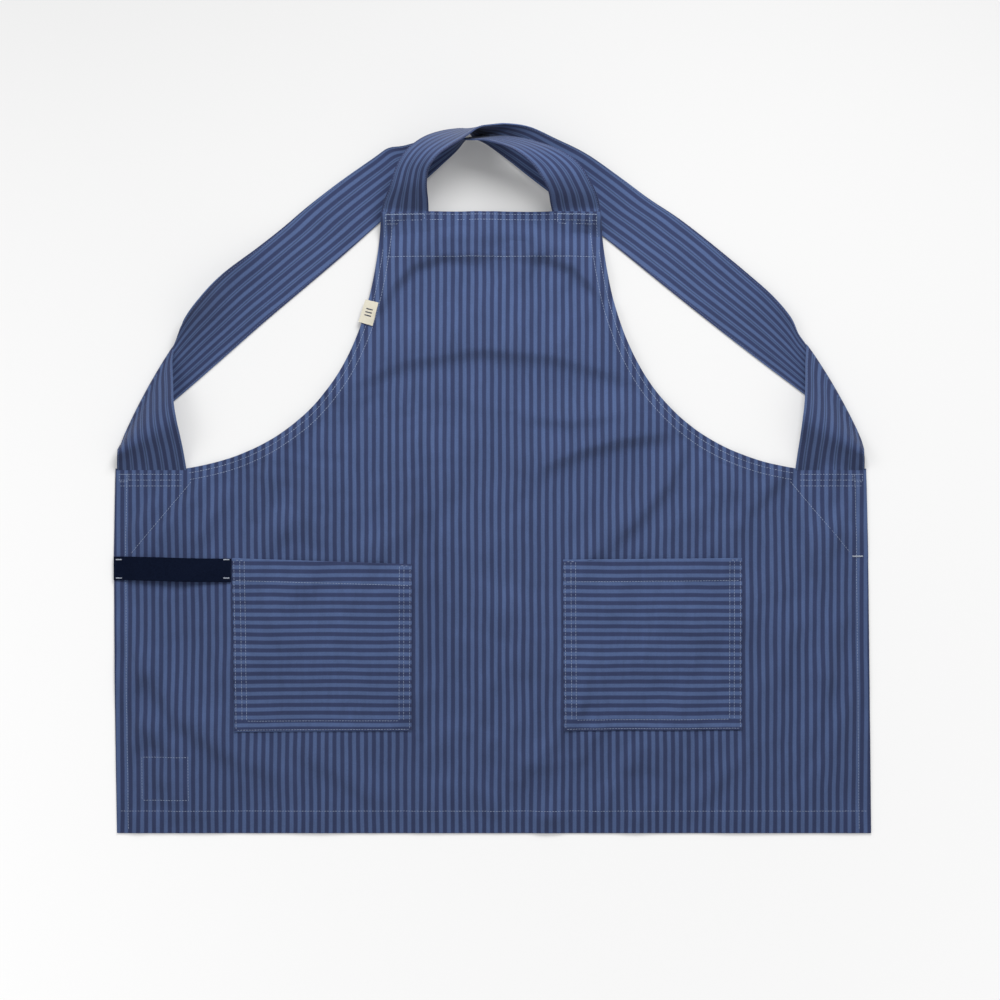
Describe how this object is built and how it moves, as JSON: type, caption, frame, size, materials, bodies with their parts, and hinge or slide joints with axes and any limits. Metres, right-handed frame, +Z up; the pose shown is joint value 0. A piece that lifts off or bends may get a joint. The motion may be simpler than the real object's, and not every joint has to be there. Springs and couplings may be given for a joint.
{
  "type": "crossback apron",
  "caption": "Crossback apron in striped denim laid flat, with patch pockets, a side towel loop and wide straps that arch over the neck and cross behind.",
  "frame": {"origin": "on the surface the apron lies on, under the middle of its whole outline", "axes": "+X across the apron, +Y from the hem to the neck loop, +Z up from the surface to the front of the cloth"},
  "size_m": [0.914, 0.8587, 0.0823],
  "materials": {
    "striped_cloth": "woven denim with pale and dark blue stripes",
    "webbing": "dark navy herringbone webbing",
    "label_cloth": "smooth cream cotton tape",
    "pale_thread": "pale blue-white sewing thread",
    "dark_thread": "dark navy sewing thread"
  },
  "bodies": {
    "root": {"body_panel": "striped_cloth", "bib_facing": "striped_cloth", "left_armhole_facing": "striped_cloth", "right_armhole_facing": "striped_cloth", "left_corner_patch": "striped_cloth", "right_corner_patch": "striped_cloth", "label_patch": "label_cloth", "left_pocket": "striped_cloth", "right_pocket": "striped_cloth", "towel_loop": "webbing", "towel_loop_tacks": "dark_thread", "corner_tacks": "pale_thread", "edge_label": "label_cloth", "left_strap_back": "striped_cloth", "right_strap_back": "striped_cloth"},
    "neck_loop": {"left_strap_neck": "striped_cloth", "right_strap_neck": "striped_cloth"}
  },
  "joints": [
    {"name": "neck_loop_lift", "type": "hinge", "parent": "root", "child": "neck_loop", "pos_m": [0, 0.3195, 0.0016], "axis": [1, 0, 0], "range_deg": [0, 90]}
  ]
}
